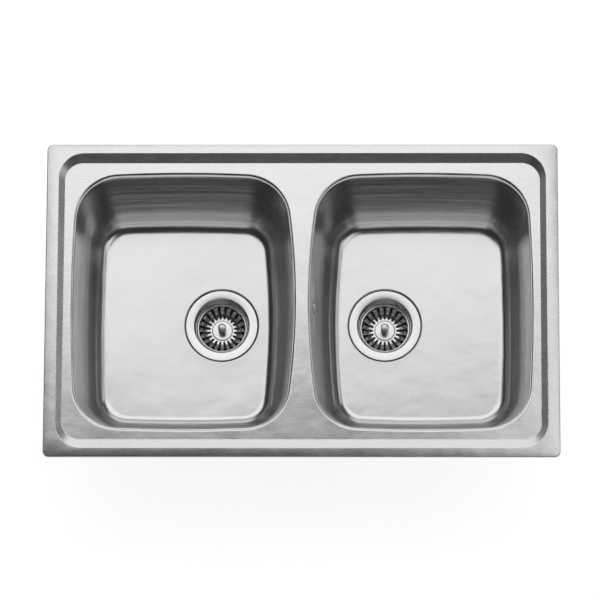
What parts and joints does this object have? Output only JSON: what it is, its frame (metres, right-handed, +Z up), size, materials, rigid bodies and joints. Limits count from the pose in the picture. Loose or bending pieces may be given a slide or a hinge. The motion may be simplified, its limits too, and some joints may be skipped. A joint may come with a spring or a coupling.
{
  "type": "double bowl kitchen sink",
  "caption": "Inset stainless kitchen sink with two bowls, strainer basket wastes, an overflow and screw clamps that grip the worktop.",
  "frame": {"origin": "centre of the sink in the plane of the worktop that it sits on", "axes": "+X to the right along the length, +Y to the back, +Z up"},
  "size_m": [0.8, 0.5, 0.2871],
  "materials": {
    "brushed_stainless": "fine brushed stainless steel",
    "polished_stainless": "polished stainless steel",
    "zinc_plated_steel": "zinc-plated, dull",
    "brass_slot": "turned brass",
    "seal_foam": "closed-cell foam",
    "gasket_rubber": "smooth black rubber",
    "sound_pad_slot": "matt bitumen pad",
    "waste_plastic": "moulded white plastic"
  },
  "bodies": {
    "sink": {"sink_deck": "brushed_stainless", "left_bowl": "brushed_stainless", "right_bowl": "brushed_stainless", "rim_seal": "seal_foam", "clamp_brackets": "zinc_plated_steel", "left_sound_pad": "sound_pad_slot", "left_waste_cup": "brushed_stainless", "left_flange_gasket": "gasket_rubber", "left_body_gasket": "gasket_rubber", "left_waste_body": "waste_plastic", "left_captive_nut": "brass_slot", "left_waste_screw": "polished_stainless", "right_sound_pad": "sound_pad_slot", "right_waste_cup": "brushed_stainless", "right_flange_gasket": "gasket_rubber", "right_body_gasket": "gasket_rubber", "right_waste_body": "waste_plastic", "right_captive_nut": "brass_slot", "right_waste_screw": "polished_stainless", "overflow_gasket": "gasket_rubber", "overflow_elbow": "waste_plastic", "overflow_screw": "polished_stainless", "overflow_pipe": "waste_plastic", "overflow_upper_seal": "gasket_rubber", "overflow_upper_nut": "waste_plastic", "overflow_lower_seal": "gasket_rubber", "overflow_lower_nut": "waste_plastic"},
    "left_basket": {"left_basket": "brushed_stainless", "left_basket_knob": "polished_stainless", "left_basket_stopper": "gasket_rubber", "left_basket_pin": "polished_stainless"},
    "right_basket": {"right_basket": "brushed_stainless", "right_basket_knob": "polished_stainless", "right_basket_stopper": "gasket_rubber", "right_basket_pin": "polished_stainless"},
    "clamp_screw_1": {"clamp_screw_1": "zinc_plated_steel"},
    "clamp_arm_1": {"clamp_arm_1": "zinc_plated_steel"},
    "clamp_screw_2": {"clamp_screw_2": "zinc_plated_steel"},
    "clamp_arm_2": {"clamp_arm_2": "zinc_plated_steel"},
    "clamp_screw_3": {"clamp_screw_3": "zinc_plated_steel"},
    "clamp_arm_3": {"clamp_arm_3": "zinc_plated_steel"},
    "clamp_screw_4": {"clamp_screw_4": "zinc_plated_steel"},
    "clamp_arm_4": {"clamp_arm_4": "zinc_plated_steel"},
    "clamp_screw_5": {"clamp_screw_5": "zinc_plated_steel"},
    "clamp_arm_5": {"clamp_arm_5": "zinc_plated_steel"},
    "clamp_screw_6": {"clamp_screw_6": "zinc_plated_steel"},
    "clamp_arm_6": {"clamp_arm_6": "zinc_plated_steel"},
    "clamp_screw_7": {"clamp_screw_7": "zinc_plated_steel"},
    "clamp_arm_7": {"clamp_arm_7": "zinc_plated_steel"},
    "clamp_screw_8": {"clamp_screw_8": "zinc_plated_steel"},
    "clamp_arm_8": {"clamp_arm_8": "zinc_plated_steel"}
  },
  "joints": [
    {"name": "left_basket_lift", "type": "slide", "parent": "sink", "child": "left_basket", "axis": [0, 0, 1], "range_m": [0, 0.25]},
    {"name": "right_basket_lift", "type": "slide", "parent": "sink", "child": "right_basket", "axis": [0, 0, 1], "range_m": [0, 0.25]},
    {"name": "clamp_screw_1_travel", "type": "slide", "parent": "sink", "child": "clamp_screw_1", "axis": [0, 0, 1], "range_m": [0, 0.012]},
    {"name": "clamp_arm_1_swing", "type": "hinge", "parent": "clamp_screw_1", "child": "clamp_arm_1", "pos_m": [-0.25, -0.2188, -0.06], "axis": [0, 0, 1], "range_deg": [0, 90]},
    {"name": "clamp_screw_2_travel", "type": "slide", "parent": "sink", "child": "clamp_screw_2", "axis": [0, 0, 1], "range_m": [0, 0.012]},
    {"name": "clamp_arm_2_swing", "type": "hinge", "parent": "clamp_screw_2", "child": "clamp_arm_2", "pos_m": [0, -0.2188, -0.06], "axis": [0, 0, 1], "range_deg": [0, 90]},
    {"name": "clamp_screw_3_travel", "type": "slide", "parent": "sink", "child": "clamp_screw_3", "axis": [0, 0, 1], "range_m": [0, 0.012]},
    {"name": "clamp_arm_3_swing", "type": "hinge", "parent": "clamp_screw_3", "child": "clamp_arm_3", "pos_m": [0.25, -0.2188, -0.06], "axis": [0, 0, 1], "range_deg": [0, 90]},
    {"name": "clamp_screw_4_travel", "type": "slide", "parent": "sink", "child": "clamp_screw_4", "axis": [0, 0, 1], "range_m": [0, 0.012]},
    {"name": "clamp_arm_4_swing", "type": "hinge", "parent": "clamp_screw_4", "child": "clamp_arm_4", "pos_m": [-0.25, 0.2188, -0.06], "axis": [0, 0, 1], "range_deg": [0, 90]},
    {"name": "clamp_screw_5_travel", "type": "slide", "parent": "sink", "child": "clamp_screw_5", "axis": [0, 0, 1], "range_m": [0, 0.012]},
    {"name": "clamp_arm_5_swing", "type": "hinge", "parent": "clamp_screw_5", "child": "clamp_arm_5", "pos_m": [0, 0.2188, -0.06], "axis": [0, 0, 1], "range_deg": [0, 90]},
    {"name": "clamp_screw_6_travel", "type": "slide", "parent": "sink", "child": "clamp_screw_6", "axis": [0, 0, 1], "range_m": [0, 0.012]},
    {"name": "clamp_arm_6_swing", "type": "hinge", "parent": "clamp_screw_6", "child": "clamp_arm_6", "pos_m": [0.25, 0.2188, -0.06], "axis": [0, 0, 1], "range_deg": [0, 90]},
    {"name": "clamp_screw_7_travel", "type": "slide", "parent": "sink", "child": "clamp_screw_7", "axis": [0, 0, 1], "range_m": [0, 0.012]},
    {"name": "clamp_arm_7_swing", "type": "hinge", "parent": "clamp_screw_7", "child": "clamp_arm_7", "pos_m": [-0.3688, -0.0014, -0.06], "axis": [0, 0, 1], "range_deg": [0, 90]},
    {"name": "clamp_screw_8_travel", "type": "slide", "parent": "sink", "child": "clamp_screw_8", "axis": [0, 0, 1], "range_m": [0, 0.012]},
    {"name": "clamp_arm_8_swing", "type": "hinge", "parent": "clamp_screw_8", "child": "clamp_arm_8", "pos_m": [0.3688, -0.0014, -0.06], "axis": [0, 0, 1], "range_deg": [0, 90]}
  ]
}
